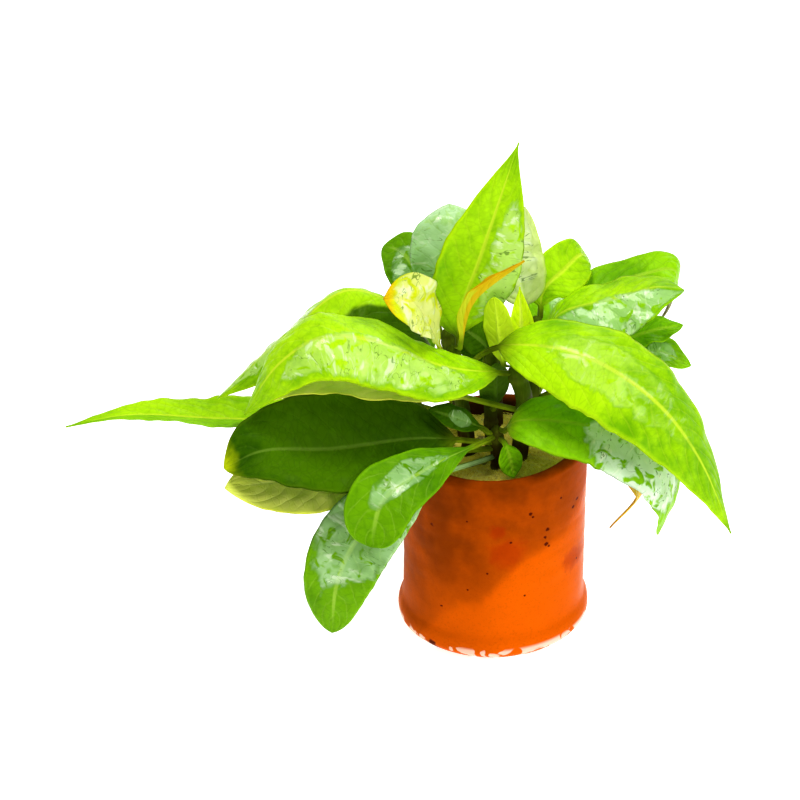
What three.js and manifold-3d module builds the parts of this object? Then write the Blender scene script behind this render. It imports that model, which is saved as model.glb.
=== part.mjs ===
// A potted hygrophila: a clay pot, its plug of mineral wool, the stems that root in the wool,
// and the leaves on those stems. Millimetres, +Z up, origin on the pot's foot, below the middle
// of its mouth.
import * as THREE from 'three';
import { mergeVertices } from 'three/addons/utils/BufferGeometryUtils.js';
import Module from 'manifold-3d';

const wasm = await Module();
wasm.setup();

// Driving dimensions
const CLEARANCE = 0.3; // gap between neighbouring pieces
const POT = {
  height: 56,
  rimRadius: 25, // outside, at the lip
  waistRadius: 25.2, // outside, just above the foot
  footRadius: 26.6, // the widest ring of the foot
  baseRadius: 24.6, // the flat that stands on the table
  footHeight: 8, // where the foot's flare ends
  wall: 3.6,
  floor: 4,
  lean: 1.8, // degrees that the hand-made body leans towards +X
  rimTilt: 1.5, // degrees that its lip rises towards +X
  toe: 0.5, // rounding of the foot's edges
  cove: 2, // chamfer between the floor and the wall inside
  segments: 56,
};
const WOOL = {
  sink: 4, // how far the wool lies below the lip
  crown: 0.8, // rise of its middle
  shoulder: 2, // rounding at its rim
  segments: 36,
};
const STEM = { sides: 10, steps: 7, rootDepth: 14 };
const PETIOLE = {
  radius: 0.8,
  flat: 0.85, // how thick the stalk is between its middle and its edges, as a share of the radius
  steps: 3,
};
const BLADE = {
  thickness: 0.5,
  tipWidth: 0.6,
  opening: 0.2, // share of the blade's length over which its fold sets in
  steps: 10,
};

const woolTop = POT.height - WOOL.sink;
const innerRadius = POT.rimRadius - POT.wall;
const rad = THREE.MathUtils.degToRad;

// Stems: foot [x, y] in the wool, the points [x, y, up] that the stem grows through, and its
// radius. Every height called up is measured from the pot's lip.
const STEMS = {
  front: { foot: [6, -6], through: [[8, -6, 13], [5, -7, 26]], radius: 2.2 },
  left: { foot: [-7, -2], through: [[-10, -3, 22], [-11, -4, 31]], radius: 1.8 },
  left_back: { foot: [-8, 7], through: [[-10, 9, 12], [-12, 12, 28]], radius: 1.8 },
  right_back: { foot: [8, 6], through: [[11, 6.5, 14], [12, 7, 33]], radius: 1.9 },
  low: { foot: [0, -10], through: [[0, -10.5, 3], [0, -11, 10]], radius: 1.7 },
  middle: { foot: [-1, 0], through: [[-1, 0, 12], [0, 0, 28]], radius: 1.7 },
  back: { foot: [1, 12], through: [[1, 15, 10], [0, 18, 24]], radius: 1.7 },
};

// Leaves. stem and at (height above the lip) say where a leaf grows, and path gives the points
// [x, y, up] that its midrib runs through, the last one its tip. A leaf that hangs over the lip
// has its path as [out, side, up] instead: out from the pot's rim in the direction over, in
// degrees from +X towards +Y, and sideways from there. A leaf close beside its stem has it the
// same way, out from the stem's skin in the direction beside. roll turns the blade about its
// midrib; fold lifts both halves into a V, or lets them droop where it is negative, in degrees.
// belly is where along the blade it is widest, and taper how finely it ends.
const LEAVES = [
  { name: 'leaf_spear', stem: 'left', at: 28, petiole: 4, width: 23, roll: 80, fold: 10,
    belly: 0.37, taper: 1.3, path: [[-9, -0.5, 37], [-3, -1, 55], [8, 4, 85]] },
  { name: 'leaf_spear_behind', stem: 'right_back', at: 31, petiole: 4, width: 14, roll: 0, fold: 10,
    belly: 0.36, taper: 0.8, path: [[8, 12, 47], [10, 16, 61]] },
  { name: 'leaf_young', stem: 'left', at: 31, petiole: 3, width: 5, roll: 0, fold: 60,
    belly: 0.4, taper: 1.1, path: [[-8, -7, 38.5], [-5, -9, 47], [8, -13, 59.5]] },
  { name: 'leaf_back_gray', stem: 'left_back', at: 26, petiole: 4, width: 21, roll: 0, fold: -10,
    belly: 0.55, taper: 0.55, path: [[-11, 14, 47], [-10, 18, 57], [-10, 24, 59]] },
  { name: 'leaf_back_left', stem: 'left_back', at: 24, petiole: 4, width: 16, roll: -30, fold: 6,
    belly: 0.55, taper: 0.6, path: [[-18, 20, 38], [-23, 26, 44], [-28, 31, 44]] },
  { name: 'leaf_crinkled', stem: 'left', at: 27, petiole: 4, width: 16, roll: -60, fold: 15,
    belly: 0.65, taper: 0.8, path: [[-18, -8.5, 42.5], [-21.5, -11.5, 48.5], [-28.5, -14, 51]] },
  { name: 'leaf_arched_left', stem: 'left_back', at: 16, petiole: 8, width: 26, roll: -10, fold: -28,
    belly: 0.45, taper: 1, path: [[-24, 8, 36], [-38, 8, 42.5], [-55, 2, 33], [-74, -6, 19]] },
  { name: 'leaf_front_left', stem: 'front', at: 24, petiole: 2, width: 27, roll: -22, fold: -20,
    belly: 0.47, taper: 1, path: [[-14, -16, 31.5], [-32, -18, 41], [-45, -21, 44], [-56, -23, 38],
      [-66, -22, 23]] },
  { name: 'leaf_far_left', stem: 'left', at: 6, petiole: 22, width: 20, roll: 5, fold: 14,
    belly: 0.4, taper: 1.2, path: [[-31, 4, 4], [-75, 5, 6.5], [-99, 3, 10], [-116, 0, 9]] },
  { name: 'leaf_yellow_left', stem: 'front', at: 12, petiole: 14, width: 16, roll: -20, fold: 5,
    belly: 0.5, taper: 0.9, path: [[-25, -11, 24], [-49, -16, 30], [-64, -20, 25]] },
  { name: 'leaf_big_dark', stem: 'low', at: 5, petiole: 10, width: 32, roll: -30, fold: 15,
    belly: 0.5, taper: 0.7, over: 222, path: [[1, -0.5, 10.5], [24, -11.5, 12.5], [39, -21.5, 14.5], [47, -27.5, 10.5],
      ] },
  { name: 'leaf_under_dark', stem: 'low', at: 3, petiole: 12, width: 22, roll: -35, fold: 5,
    belly: 0.6, taper: 0.8, over: 229, path: [[6.5, -7, 6.5], [28.5, -22.5, 5], [45.5, -34.5, 6]] },
  { name: 'leaf_front_small', stem: 'low', at: 7, petiole: 8, width: 18, roll: -32, fold: 8,
    belly: 0.74, taper: 0.45, over: 238, path: [[13.5, 1, 10.5], [26.5, -4.5, 6.5], [32.5, -4.5, -4]] },
  { name: 'leaf_low_front', stem: 'low', at: 0.5, petiole: 22, width: 20.5, roll: -50, fold: -3,
    belly: 0.5, taper: 0.6, over: 229, path: [[12.5, 1, 2.5], [29.5, -4, -7], [35.5, -5.5, -18], [37, -7, -33],
      ] },
  { name: 'leaf_centre_dark', stem: 'low', at: 8, petiole: 3, width: 8, roll: -30, fold: 5,
    belly: 0.5, taper: 0.8, path: [[-4, -12, 10], [-18, -15, 18]] },
  { name: 'leaf_hanging', stem: 'low', at: 6.5, petiole: 2, width: 7.5, roll: 0, fold: 5,
    belly: 0.5, taper: 0.8, path: [[2, -14, 6], [4, -17.5, -2.5]] },
  { name: 'leaf_right_low', stem: 'low', at: 9, petiole: 3, width: 23, roll: 15, fold: -5,
    belly: 0.42, taper: 0.7, over: 291, path: [[-8, 0, 14], [4.5, 17.5, 13], [13, 29.5, 4], [13.5, 33.5, -8],
      [11.5, 31, -19]] },
  { name: 'leaf_right_hidden', stem: 'front', at: 2, petiole: 6, width: 12, roll: 20, fold: 5,
    belly: 0.4, taper: 1.3, over: 335, path: [[-6, 0, 6], [10, 3, -2], [14.5, 5, -12], [8, 0, -22]] },
  { name: 'leaf_front_right', stem: 'left', at: 22, petiole: 15, width: 28, roll: 19, fold: -18,
    belly: 0.36, taper: 1.2, path: [[-5, -5, 27], [2, -9.5, 33], [17, -17, 35.5], [29, -23, 32.5],
      [42, -27, 22.5], [52, -28, 7], [61, -27, -17]] },
  { name: 'leaf_right_up', stem: 'right_back', at: 31, petiole: 3, width: 14, roll: 40, fold: 5,
    belly: 0.5, taper: 0.7, path: [[14.5, 12, 38], [20, 17, 41], [25, 22, 43], [27.5, 26, 40]] },
  { name: 'leaf_right_side', stem: 'right_back', at: 25, petiole: 4, width: 23, roll: 15, fold: -20,
    belly: 0.5, taper: 0.8, path: [[18, 2.5, 35.5], [32, 2, 39.5], [44, 2, 42.5], [51, 1.5, 41.5]] },
  { name: 'leaf_right_back', stem: 'right_back', at: 20, petiole: 6, width: 14, roll: 20, fold: 5,
    belly: 0.45, taper: 0.9, path: [[27, 16, 34], [41, 19, 37.5], [50.5, 20, 38], [49, 19, 28.5],
      [44, 16, 21]] },
  { name: 'leaf_far_right_a', stem: 'right_back', at: 14, petiole: 14, width: 10, roll: 20, fold: 5,
    belly: 0.6, taper: 0.8, path: [[41, 9, 25], [52, 11, 26]] },
  { name: 'leaf_far_right_b', stem: 'right_back', at: 8, petiole: 16, width: 12, roll: 20, fold: 5,
    belly: 0.6, taper: 0.8, path: [[43, 10, 19], [54, 8, 15]] },
  { name: 'leaf_centre_young', stem: 'front', at: 24, petiole: 1, width: 8, roll: 0, fold: 20,
    belly: 0.35, taper: 1.1, beside: 56, path: [[1.5, 0, 34], [2, 0.5, 47]] },
  { name: 'leaf_centre_bright', stem: 'front', at: 25, petiole: 1, width: 9, roll: 80, fold: 5,
    belly: 0.5, taper: 0.6, beside: 148, path: [[2, 0, 32], [3, 0.5, 45]] },
  { name: 'leaf_inner_dark', stem: 'middle', at: 22, petiole: 2, width: 11, roll: -30, fold: 5,
    belly: 0.5, taper: 0.8, path: [[-2, 2, 27], [-8, 4, 32]] },
  { name: 'leaf_upright_dark', stem: 'middle', at: 10, petiole: 2, width: 10, roll: 0, fold: 5,
    belly: 0.5, taper: 0.7, path: [[0, -4, 14], [0.5, -4, 25]] },
  { name: 'leaf_rear_low', stem: 'back', at: 6, petiole: 8, width: 24, roll: 0, fold: 6,
    belly: 0.45, taper: 0.9, path: [[0, 34, 10], [2, 48, 4], [4, 58, -10]] },
  { name: 'leaf_rear_high', stem: 'back', at: 22, petiole: 6, width: 24, roll: 0, fold: 6,
    belly: 0.45, taper: 0.9, path: [[-2, 32, 26], [-4, 44, 21], [-6, 54, 8]] },
  { name: 'leaf_rear_left_low', stem: 'left_back', at: 6, petiole: 8, width: 22, roll: 0, fold: 6,
    belly: 0.45, taper: 0.9, path: [[-24, 26, 8], [-40, 38, 6], [-54, 46, -4]] },
  { name: 'leaf_rear_left_high', stem: 'left_back', at: 14, petiole: 8, width: 20, roll: 0, fold: 6,
    belly: 0.45, taper: 0.9, path: [[-22, 24, 18], [-32, 36, 16], [-40, 48, 6]] },
  { name: 'leaf_rear_right_low', stem: 'right_back', at: 4, petiole: 8, width: 22, roll: 0, fold: 6,
    belly: 0.45, taper: 0.9, path: [[20, 26, 12], [30, 40, 10], [36, 52, -2]] },
  { name: 'leaf_rear_right_high', stem: 'right_back', at: 18, petiole: 6, width: 20, roll: 0, fold: 6,
    belly: 0.45, taper: 0.9, path: [[18, 24, 26], [26, 38, 23], [32, 50, 12]] },
  { name: 'leaf_rear_side', stem: 'left_back', at: 2, petiole: 10, width: 20, roll: 0, fold: 6,
    belly: 0.45, taper: 0.9, path: [[-30, 18, 4], [-48, 23, 2], [-64, 26, -4]] },
];

// Points a tube along a curve, its shape swept by ExtrudeGeometry.
function stemGeometry(curve, radius, sides, steps) {
  const shape = new THREE.Shape();
  for (let i = 0; i < sides; i++) {
    const a = (2 * Math.PI * i) / sides;
    if (i === 0) shape.moveTo(radius, 0);
    else shape.lineTo(radius * Math.cos(a), radius * Math.sin(a));
  }
  shape.closePath();
  return new THREE.ExtrudeGeometry(shape, { extrudePath: curve, steps, bevelEnabled: false });
}

function stemCurve({ foot, through }) {
  const rise = [[...foot, -WOOL.sink - STEM.rootDepth], [...foot, -WOOL.sink], ...through];
  const points = rise.map(([x, y, up]) => new THREE.Vector3(x, y, POT.height + up));
  return new THREE.CatmullRomCurve3(points, false, 'centripetal');
}

// The point of a stem's centre line at height z.
function stemPoint(curve, z) {
  let low = 0;
  let high = 1;
  for (let i = 0; i < 30; i++) {
    const middle = (low + high) / 2;
    if (curve.getPoint(middle).z < z) low = middle;
    else high = middle;
  }
  return curve.getPoint(low);
}

// Closes a stack of rings, all with the same number of points, into one solid.
function loft(rings) {
  const count = rings[0].length;
  const positions = rings.flat().flatMap((p) => [p.x, p.y, p.z]);
  const faces = [];
  for (let r = 0; r + 1 < rings.length; r++)
    for (let i = 0; i < count; i++) {
      const a = r * count + i;
      const b = r * count + ((i + 1) % count);
      faces.push(a, a + count, b, b, a + count, b + count);
    }
  for (const [r, flip] of [[0, false], [rings.length - 1, true]]) {
    const middle = new THREE.Vector3();
    rings[r].forEach((p) => middle.addScaledVector(p, 1 / count));
    const hub = positions.push(middle.x, middle.y, middle.z) / 3 - 1;
    for (let i = 0; i < count; i++) {
      const a = r * count + i;
      const b = r * count + ((i + 1) % count);
      faces.push(...(flip ? [b, a, hub] : [a, b, hub]));
    }
  }
  const geometry = new THREE.BufferGeometry();
  geometry.setAttribute('position', new THREE.Float32BufferAttribute(positions, 3));
  geometry.setIndex(faces);
  return geometry;
}

// Half the blade's width at t (0 at its base, 1 at its tip), as a share of its widest.
function outline(t, belly, taper) {
  const rise = (taper * belly) / (1 - belly);
  const f = (x) => x ** rise * (1 - x) ** taper;
  return f(t) / f(belly);
}

// The midrib of a leaf, from the skin of its stem to its tip.
function midrib(leaf) {
  const { curve, radius } = STEMS[leaf.stem];
  const node = stemPoint(curve, POT.height + leaf.at);
  const turn = rad(leaf.over ?? leaf.beside ?? 0);
  let hub = [0, 0, 0];
  if (leaf.over !== undefined) hub = [0, 0, POT.rimRadius];
  else if (leaf.beside !== undefined) hub = [node.x, node.y, radius];
  const points = leaf.path.map(([out, across, up]) => new THREE.Vector3(
    hub[0] + (hub[2] + out) * Math.cos(turn) - across * Math.sin(turn),
    hub[1] + (hub[2] + out) * Math.sin(turn) + across * Math.cos(turn), POT.height + up));
  const away = points[0].clone().sub(node);
  const flat = new THREE.Vector3(away.x, away.y, 0).normalize();
  const slant = Math.abs(away.z) / away.length();
  const start = node.addScaledVector(flat, radius + CLEARANCE + PETIOLE.radius * slant);
  return new THREE.CatmullRomCurve3([start, ...points], false, 'centripetal');
}

function leafRings(leaf) {
  const { petiole, width, roll, fold, belly, taper } = leaf;
  const curve = midrib(leaf);
  const total = curve.getLength();
  const reach = curve.getPoint(1).sub(curve.getPoint(0));
  const side = new THREE.Vector3(-reach.y, reach.x, 0).normalize();
  const rings = [];
  for (let k = 0; k <= PETIOLE.steps + BLADE.steps; k++) {
    const t = Math.max(0, (k - PETIOLE.steps) / BLADE.steps);
    const s = k < PETIOLE.steps ? (petiole * k) / PETIOLE.steps : petiole + t * (total - petiole);
    const point = curve.getPointAt(s / total);
    const tangent = curve.getTangentAt(s / total);
    side.addScaledVector(tangent, -side.dot(tangent)).normalize();
    const across = side.clone().applyAxisAngle(tangent, rad(roll));
    const up = new THREE.Vector3().crossVectors(tangent, across);
    const stalk = PETIOLE.radius * (1 - t) ** 2;
    const half = Math.max(BLADE.tipWidth / 2, stalk, (width / 2) * outline(t, belly, taper));
    const rib = Math.max(BLADE.thickness / 2, PETIOLE.radius * (1 - t));
    const skin = Math.max(BLADE.thickness / 2, PETIOLE.flat * stalk);
    const f = rad(fold) * Math.min(1, t / BLADE.opening);
    const at = (u, lift) => point.clone()
      .addScaledVector(across, u * half * Math.cos(f))
      .addScaledVector(up, Math.abs(u) * half * Math.sin(f) + lift);
    rings.push([at(-1, 0), at(-0.5, skin), at(0, rib), at(0.5, skin),
      at(1, 0), at(0.5, -skin), at(0, -rib), at(-0.5, -skin)]);
  }
  return rings;
}

// Leans a body of the pot's height towards +X about its lip, and lifts that side of the lip.
function lean(geometry) {
  const slope = Math.tan(rad(POT.lean));
  const place = geometry.attributes.position;
  for (let i = 0; i < place.count; i++) {
    const z = place.getZ(i);
    const share = Math.max(0, 2 * z / POT.height - 1);
    place.setZ(i, z + share * Math.tan(rad(POT.rimTilt)) * place.getX(i));
    place.setX(i, place.getX(i) + slope * (z - POT.height));
  }
  return geometry;
}

function potGeometry() {
  const { height, rimRadius, waistRadius, footRadius, baseRadius, footHeight, floor, wall } = POT;
  const lip = wall / 2;
  const profile = [
    [0, 0],
    [baseRadius - POT.toe, 0],
    [baseRadius, POT.toe],
    [footRadius - POT.toe, footHeight * 0.25],
    [footRadius, footHeight * 0.45],
    [footRadius - POT.toe, footHeight * 0.7],
    [waistRadius, footHeight],
    [(waistRadius + rimRadius) / 2, height / 2],
    [rimRadius, height - lip],
    [rimRadius - lip * 0.4, height - lip * 0.3],
    [rimRadius - lip, height],
    [innerRadius + lip * 0.4, height - lip * 0.3],
    [innerRadius, height - lip],
    [innerRadius, floor + POT.cove],
    [innerRadius - POT.cove, floor],
    [0, floor],
  ].map(([x, y]) => new THREE.Vector2(x, y));
  return lean(new THREE.LatheGeometry(profile, POT.segments).rotateX(Math.PI / 2));
}

function woolGeometry() {
  const low = POT.floor + CLEARANCE;
  const radius = innerRadius - CLEARANCE;
  const profile = [
    [0, low],
    [radius - POT.cove, low],
    [radius, low + POT.cove],
    [radius, woolTop - WOOL.shoulder],
    [radius - WOOL.shoulder / 2, woolTop - WOOL.shoulder / 5],
    [radius * 0.7, woolTop + WOOL.crown * 0.6],
    [0, woolTop + WOOL.crown],
  ].map(([x, y]) => new THREE.Vector2(x, y));
  return lean(new THREE.LatheGeometry(profile, WOOL.segments).rotateX(Math.PI / 2));
}

function solid(geometry) {
  const bare = geometry.clone();
  ['normal', 'uv'].forEach((n) => bare.deleteAttribute(n));
  const merged = mergeVertices(bare, 1e-3);
  return new wasm.Manifold(new wasm.Mesh({
    numProp: 3,
    vertProperties: new Float32Array(merged.attributes.position.array),
    triVerts: new Uint32Array(merged.index.array),
  }));
}

function geometryOf(manifold) {
  const { vertProperties, triVerts } = manifold.getMesh();
  const geometry = new THREE.BufferGeometry();
  geometry.setAttribute('position', new THREE.Float32BufferAttribute(vertProperties, 3));
  geometry.setIndex(new THREE.Uint32BufferAttribute(triVerts, 1));
  return geometry;
}

const material = (color, roughness) => new THREE.MeshStandardMaterial({ color, roughness, metalness: 0 });
const clay = material('#c9500f', 0.45);
const wool = material('#b9b45e', 0.95);
const bark = material('#6f8a2c', 0.6);
const green = material('#6fb51a', 0.4);

const plant = new THREE.Group();
function add(name, geometry, finish) {
  geometry.computeVertexNormals();
  const mesh = new THREE.Mesh(geometry, finish);
  mesh.name = name;
  plant.add(mesh);
}

add('pot', potGeometry(), clay);

let plug = solid(woolGeometry());
for (const [name, stem] of Object.entries(STEMS)) {
  stem.curve = stemCurve(stem);
  add(`stem_${name}`, stemGeometry(stem.curve, stem.radius, STEM.sides, STEM.steps), bark);
  plug = plug.subtract(solid(stemGeometry(stem.curve, stem.radius + CLEARANCE, STEM.sides, STEM.steps)));
}
add('wool_plug', geometryOf(plug), wool);

for (const leaf of LEAVES)
  add(leaf.name, loft(leafRings(leaf)), green);

export default plant;
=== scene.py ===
import math
import bpy
import numpy as np
from mathutils import Matrix, Vector


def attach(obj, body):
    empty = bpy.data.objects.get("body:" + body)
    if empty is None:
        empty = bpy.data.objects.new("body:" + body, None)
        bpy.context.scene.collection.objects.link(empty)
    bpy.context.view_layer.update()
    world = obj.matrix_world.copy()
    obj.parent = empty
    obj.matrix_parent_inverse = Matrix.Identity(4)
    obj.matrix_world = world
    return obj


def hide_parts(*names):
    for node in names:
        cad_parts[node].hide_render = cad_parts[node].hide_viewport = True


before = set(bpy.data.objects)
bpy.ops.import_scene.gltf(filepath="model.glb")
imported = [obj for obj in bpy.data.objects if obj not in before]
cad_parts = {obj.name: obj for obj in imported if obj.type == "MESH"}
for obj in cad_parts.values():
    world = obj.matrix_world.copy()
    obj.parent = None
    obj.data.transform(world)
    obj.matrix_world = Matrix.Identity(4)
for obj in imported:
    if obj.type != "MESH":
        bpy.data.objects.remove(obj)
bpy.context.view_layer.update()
mm = 0.001

camera = dict(place=(-25.4, -609.7, 413.8), aim=(-25.4, -0.5, 69.1), roll=-2.5, lens=117)
studio = dict(
    air=0.30,  # how bright the plain white surroundings are
    floorTint=(0.90, 0.90, 0.89), floorGlow=0.72, floorReach=6,
    lampAim=(0, 0, 0.06),
    # name: place in metres, power in watts, width of the softbox in metres
    keyLight=((0.70, -0.50, 0.85), 4.4, 0.55),
    topLight=((-0.15, -0.05, 1.15), 6.2, 0.40),
    backLight=((0.35, 0.75, 0.60), 2.0, 0.50),
)


# A camera at place that looks at aim, rolled about its own line of sight.
def makeCamera(c):
    back = (Vector(c["place"]) - Vector(c["aim"])).normalized()
    right = Vector((0, 0, 1)).cross(back).normalized()
    up = back.cross(right)
    turn = math.radians(c["roll"])
    x = right * math.cos(turn) + up * math.sin(turn)
    y = up * math.cos(turn) - right * math.sin(turn)
    cam = bpy.data.objects.new("camera", bpy.data.cameras.new("camera"))
    cam.data.lens = c["lens"]
    cam.data.clip_start, cam.data.clip_end = 0.01, 20
    facing = Matrix((x, y, back)).transposed().to_4x4()
    cam.matrix_world = Matrix.Translation(Vector(c["place"]) * mm) @ facing
    bpy.context.scene.collection.objects.link(cam)
    bpy.context.scene.camera = cam


# White surroundings, three softboxes, and a pale floor that glows a little.
def makeStudio(s):
    world = bpy.data.worlds.new("whiteRoom")
    world.use_nodes = True
    air = world.node_tree.nodes["Background"].inputs
    air["Color"].default_value, air["Strength"].default_value = (1, 1, 1, 1), s["air"]
    bpy.context.scene.world = world
    bpy.context.scene.view_settings.view_transform = "Standard"
    bpy.context.scene.view_settings.look = "Medium High Contrast"
    for name in ("keyLight", "topLight", "backLight"):
        place, power, width = s[name]
        light = bpy.data.lights.new(name, "AREA")
        light.energy, light.size = power, width
        lamp = bpy.data.objects.new(name, light)
        lamp.location = place
        lamp.rotation_euler = (Vector(place) - Vector(s["lampAim"])).to_track_quat("Z", "Y").to_euler()
        bpy.context.scene.collection.objects.link(lamp)
    mesh = bpy.data.meshes.new("floor")
    r = s["floorReach"]
    mesh.from_pydata([(-r, -r, 0), (r, -r, 0), (r, r, 0), (-r, r, 0)], [], [(0, 1, 2, 3)])
    floor = bpy.data.objects.new("floor", mesh)
    bpy.context.scene.collection.objects.link(floor)
    paint = bpy.data.materials.new("paleFloor")
    paint.use_nodes = True
    sockets = paint.node_tree.nodes["Principled BSDF"].inputs
    for key, value in {"Base Color": (*s["floorTint"], 1), "Roughness": 0.9, "Specular IOR Level": 0.0,
                       "Emission Color": (1, 1, 1, 1), "Emission Strength": s["floorGlow"]}.items():
        sockets[key].default_value = value
    mesh.materials.append(paint)


makeCamera(camera)
makeStudio(studio)
print("camera and studio ready")


# Centripetal Catmull-Rom line: between two points a cubic whose end slopes come from the
# neighbours, weighted by the square roots of the distances. 60 samples a span.
def smoothLine(points):
    p = np.array(points, float)
    p = np.vstack([2 * p[0] - p[1], p, 2 * p[-1] - p[-2]])
    gap = np.maximum(np.linalg.norm(np.diff(p, axis=0), axis=1) ** 0.5, 1e-6)[:, None]
    a, b, c, d = p[:-3], p[1:-2], p[2:-1], p[3:]
    g0, g1, g2 = gap[:-2], gap[1:-1], gap[2:]
    m1 = ((b - a) / g0 - (c - a) / (g0 + g1) + (c - b) / g1) * g1
    m2 = ((c - b) / g1 - (d - b) / (g1 + g2) + (d - c) / g2) * g1
    t = np.linspace(0, 1, 60, endpoint=False)[None, :, None]
    b, c, m1, m2 = b[:, None], c[:, None], m1[:, None], m2[:, None]
    line = b + m1 * t + (3 * (c - b) - 2 * m1 - m2) * t**2 + (2 * (b - c) + m1 + m2) * t**3
    return np.vstack([line.reshape(-1, 3), p[-2]])


# Vectors scaled to length 1.
def unit(v):
    return v / np.maximum(np.linalg.norm(v, axis=-1, keepdims=True), 1e-12)


# Points and directions of a line at the given lengths from its start.
def alongLine(line, lengths):
    run = np.concatenate([[0], np.cumsum(np.linalg.norm(np.diff(line, axis=0), axis=1))])
    slope = unit(np.gradient(line, run, axis=0))
    pick = lambda v: np.stack([np.interp(lengths, run, v[:, k]) for k in range(3)], 1)
    return pick(line), unit(pick(slope))


def lengthOf(line):
    return float(np.linalg.norm(np.diff(line, axis=0), axis=1).sum())


# A sideways direction carried along a line without twist: at each step its part along the line is
# taken away.
def carried(side, slope):
    sides = []
    for way in slope:
        side = unit(side - way * (way @ side))
        sides.append(side)
    return np.array(sides)


# 0 below low, 1 above high, and 3 t^2 - 2 t^3 in between.
def ease(x, low, high):
    t = np.clip((x - low) / (high - low), 0, 1)
    return t * t * (3 - 2 * t)


# Smooth unevenness between about -1 and 1: the mean of waves with seeded directions and phases,
# all with lengths near size, read at points of any dimension.
def uneven(points, size, seed, waves=14):
    dice = np.random.default_rng(seed)
    points = np.asarray(points, float)
    way = unit(dice.normal(size=(waves, points.shape[-1]))) * dice.uniform(0.6, 1.6, (waves, 1))
    phase = dice.uniform(0, 2 * math.pi, waves)
    return np.cos(points @ way.T * (2 * math.pi / size) + phase).sum(-1) / math.sqrt(waves) * 0.9


# A mesh from an array of points, its quads and triangles, in millimetres.
def makeMesh(name, points, quads, tris, uv=None, marks=None):
    quads, tris = quads.reshape(-1, 4), tris.reshape(-1, 3)
    mesh = bpy.data.meshes.new(name)
    mesh.vertices.add(len(points))
    mesh.vertices.foreach_set("co", (np.asarray(points) * mm).astype(np.float32).ravel())
    loops = np.concatenate([quads.ravel(), tris.ravel()])
    starts = np.concatenate([np.arange(len(quads)) * 4, quads.size + np.arange(len(tris)) * 3])
    mesh.loops.add(len(loops))
    mesh.loops.foreach_set("vertex_index", loops)
    mesh.polygons.add(len(starts))
    mesh.polygons.foreach_set("loop_start", starts)
    mesh.update(calc_edges=True)
    mesh.polygons.foreach_set("use_smooth", np.full(len(starts), True))
    if uv is not None:
        layer = mesh.uv_layers.new(name="surfaceMap")
        layer.data.foreach_set("uv", np.asarray(uv, np.float32)[loops].ravel())
    for key, values in (marks or {}).items():
        layer = mesh.attributes.new(key, "FLOAT", "POINT")
        layer.data.foreach_set("value", np.asarray(values, np.float32))
    mesh.validate()
    piece = bpy.data.objects.new(name, mesh)
    bpy.context.scene.collection.objects.link(piece)
    return piece


# The quads between n rings of m points each, numbered ring by ring.
def ringQuads(n, m):
    i, j = np.meshgrid(np.arange(n - 1), np.arange(m), indexing="ij")
    k = (j + 1) % m
    return np.stack([i * m + j, i * m + k, (i + 1) * m + k, (i + 1) * m + j], -1).reshape(-1, 4)


# Closes rings (ring, point around, xyz) into one skin, with a hub point in each end.
def ringSkin(name, rings, uv=None, marks=None):
    n, m = rings.shape[:2]
    around = np.arange(m)
    first = np.stack([(around + 1) % m, around, np.full(m, n * m)], 1)
    last = np.stack([(n - 1) * m + around, (n - 1) * m + (around + 1) % m, np.full(m, n * m + 1)], 1)
    points = np.vstack([rings.reshape(-1, 3), rings[0].mean(0), rings[-1].mean(0)])
    if uv is not None:
        uv = np.vstack([uv.reshape(-1, 2), uv[0].mean(0), uv[-1].mean(0)])
    if marks:
        marks = {k: np.concatenate([v.ravel(), [v[0].mean(), v[-1].mean()]]) for k, v in marks.items()}
    return makeMesh(name, points, ringQuads(n, m), np.vstack([first, last]), uv, marks)


# leaf and back_left make leafBackLeft.
def pieceName(kind, name):
    return kind + name.title().replace("_", "")


# Every piece rides on the only body; most stand for a CAD node.
def settle(piece, slotName, *nodes):
    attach(piece, "root")
    if nodes:
        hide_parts(*nodes)


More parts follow.
